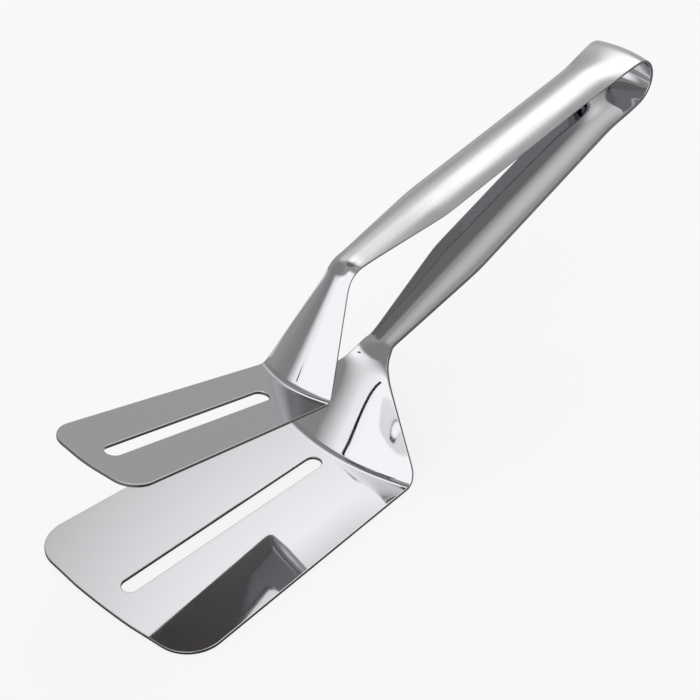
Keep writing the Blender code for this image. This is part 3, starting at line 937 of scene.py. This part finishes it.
def painted_shade_card(studio):
    """Card of painted shade: the floor shaded by the tongs, lighter towards the bow and darker towards the
    blades.
    """
    material = matt_card("Floor card with painted shade", studio.shade_card_darkest)
    tree = material.node_tree
    place = add_node(tree, "TexCoord").outputs["Object"]
    along = add_node(tree, "SeparateXYZ", {"Vector": place}).outputs["X"]
    share = add_node(tree, "MapRange", {
        "Value": along, "From Min": studio.shade_lightest_at, "From Max": studio.shade_darkest_at})
    # This mix is painted shade, deepening from the bow towards the blades.
    mixed = add_node(tree, "Mix", {
        "Factor": share.outputs["Result"], "A": studio.shade_card_lightest, "B": studio.shade_card_darkest},
        data_type="RGBA")
    tree.links.new(mixed.outputs["Result"], tree.nodes["Principled BSDF"].inputs["Base Color"])
    return material


def keep_for_mirroring(name, material):
    """Makes the active object a thing that only the steel sees."""
    thing = bpy.context.object
    thing.name = name
    thing.data.materials.append(material)
    thing.visible_camera = False
    thing.visible_diffuse = False
    thing.visible_shadow = False


def direction(azimuth, height):
    """Unit vector from an azimuth, +X towards +Y, and a height over the floor."""
    return (math.cos(azimuth) * math.cos(height), math.sin(azimuth) * math.cos(height), math.sin(height))


def set_out_cards(studio):
    """Floor cards and a lamp head that the bare steel mirrors, so that it stands out from the paper."""
    bpy.ops.object.select_all(action="DESELECT")
    bpy.ops.mesh.primitive_plane_add(size=studio.grey_card_size, location=studio.grey_card_place)
    keep_for_mirroring("grey_floor_card", matt_card("Mid-grey card", studio.grey_card_colour))
    # This card is painted shade: the floor darkened round and under the tongs, seen only in the steel.
    bpy.ops.mesh.primitive_plane_add(size=studio.shade_card_size, location=studio.shade_card_place)
    keep_for_mirroring("painted_shade_floor_card", painted_shade_card(studio))
    way = Vector(direction(studio.lamp_head_azimuth, studio.lamp_head_height))
    bpy.ops.mesh.primitive_cylinder_add(
        vertices=48, radius=studio.lamp_head_radius, depth=studio.lamp_head_depth,
        location=studio.lamp_head_distance * way)
    keep_for_mirroring("black_lamp_head", matt_card("Black lamp housing", studio.lamp_head_colour))


def soft_spot(tree, part):
    """1 in the middle of a round part of the light and 0 past its rim."""
    azimuth, height, middle, rim = part
    ray = add_node(tree, "TexCoord").outputs["Generated"]
    near = add_node(tree, "VectorMath", {0: ray, 1: direction(azimuth, height)}, operation="DOT_PRODUCT")
    inside = add_node(tree, "MapRange", {
        "Value": near.outputs["Value"], "From Min": math.cos(rim), "From Max": math.cos(middle)})
    return inside.outputs["Result"]


def light_room(scene, studio):
    """Pale grey walls with soft lamps, a screen at the front one, a darker ceiling and a darker corner."""
    scene.world = scene.world or bpy.data.worlds.new("Studio")
    scene.world.use_nodes = True
    tree = scene.world.node_tree
    front = add_node(
        tree, "Math", {0: soft_spot(tree, studio.front_lamp), 1: soft_spot(tree, studio.screen)},
        operation="SUBTRACT", use_clamp=True)
    lamps = (
        (soft_spot(tree, studio.back_lamp), studio.back_light),
        (soft_spot(tree, studio.core_lamp), studio.core_light),
        (front.outputs["Value"], studio.front_light),
        (soft_spot(tree, studio.side_lamp), studio.side_light),
        (soft_spot(tree, studio.low_lamp), studio.low_light),
    )
    light = studio.wall_light
    for spot, strength in lamps:
        added = add_node(tree, "Math", {0: spot, 1: strength, 2: light}, operation="MULTIPLY_ADD")
        light = added.outputs["Value"]
    for part, share in ((studio.ceiling, studio.ceiling_light), (studio.corner, studio.corner_light)):
        shade = add_node(tree, "MapRange", {"Value": soft_spot(tree, part), "To Min": 1.0, "To Max": share})
        shaded = add_node(tree, "Math", {0: light, 1: shade.outputs["Result"]}, operation="MULTIPLY")
        light = shaded.outputs["Value"]
    background = tree.nodes["Background"]
    background.inputs["Color"].default_value = (1.0, 1.0, 1.0, 1.0)
    tree.links.new(light, background.inputs["Strength"])


def place_camera(scene, studio):
    lens = bpy.data.cameras.new("Camera")
    lens.lens = studio.focal_length
    lens.sensor_width = 36.0
    camera = bpy.data.objects.new("Camera", lens)
    scene.collection.objects.link(camera)
    turn = Euler((studio.camera_tilt, studio.camera_lean, studio.camera_bearing))
    camera.matrix_world = Matrix.LocRotScale(studio.camera_place, turn, None)
    scene.camera = camera


class TONGS_OT_studio(bpy.types.Operator):
    """Sets out the floor, the lamps and the camera"""

    bl_idname = "tongs.studio"
    bl_label = "Studio"

    def execute(self, context):
        studio = context.scene.tongs_studio
        context.scene.view_settings.view_transform = "Standard"
        deselect_everything()
        bpy.ops.mesh.primitive_grid_add(x_subdivisions=1, y_subdivisions=1, size=studio.floor_size)
        floor = context.object
        floor.name = "studio_floor"
        floor.data.materials.append(floor_paper(studio))
        set_out_cards(studio)
        light_room(context.scene, studio)
        place_camera(context.scene, studio)
        return {"FINISHED"}


PROPERTY_GROUPS = {
    "tongs_strip": StripProperties,
    "tongs_lower": LowerArmProperties,
    "tongs_upper": UpperArmProperties,
    "tongs_facets": FacetProperties,
    "tongs_finish": FinishProperties,
    "tongs_studio": StudioProperties,
}
OPERATORS = (TONGS_OT_lower_arm, TONGS_OT_upper_arm, TONGS_OT_bow, TONGS_OT_studio)


class TONGS_PT_panel(bpy.types.Panel):
    """Lists the pieces of the tongs and their sizes"""

    bl_idname = "TONGS_PT_panel"
    bl_label = "Spatula tongs"
    bl_space_type = "VIEW_3D"
    bl_region_type = "UI"
    bl_category = "Tongs"

    def draw(self, context):
        for operator in OPERATORS:
            self.layout.operator(operator.bl_idname)
        for group in PROPERTY_GROUPS:
            box = self.layout.box()
            sizes = getattr(context.scene, group)
            for key in sizes.bl_rna.properties.keys():
                if key not in ("rna_type", "name"):
                    box.prop(sizes, key)


def register():
    for name, group in PROPERTY_GROUPS.items():
        bpy.utils.register_class(group)
        setattr(bpy.types.Scene, name, PointerProperty(type=group))
    for item in (*OPERATORS, TONGS_PT_panel):
        bpy.utils.register_class(item)


def unregister():
    for item in (TONGS_PT_panel, *reversed(OPERATORS)):
        bpy.utils.unregister_class(item)
    for name, group in PROPERTY_GROUPS.items():
        delattr(bpy.types.Scene, name)
        bpy.utils.unregister_class(group)


def main():
    register()
    bpy.ops.tongs.lower_arm()
    bpy.ops.tongs.upper_arm()
    bpy.ops.tongs.bow()
    bpy.ops.tongs.studio()


if __name__ == "__main__":
    main()
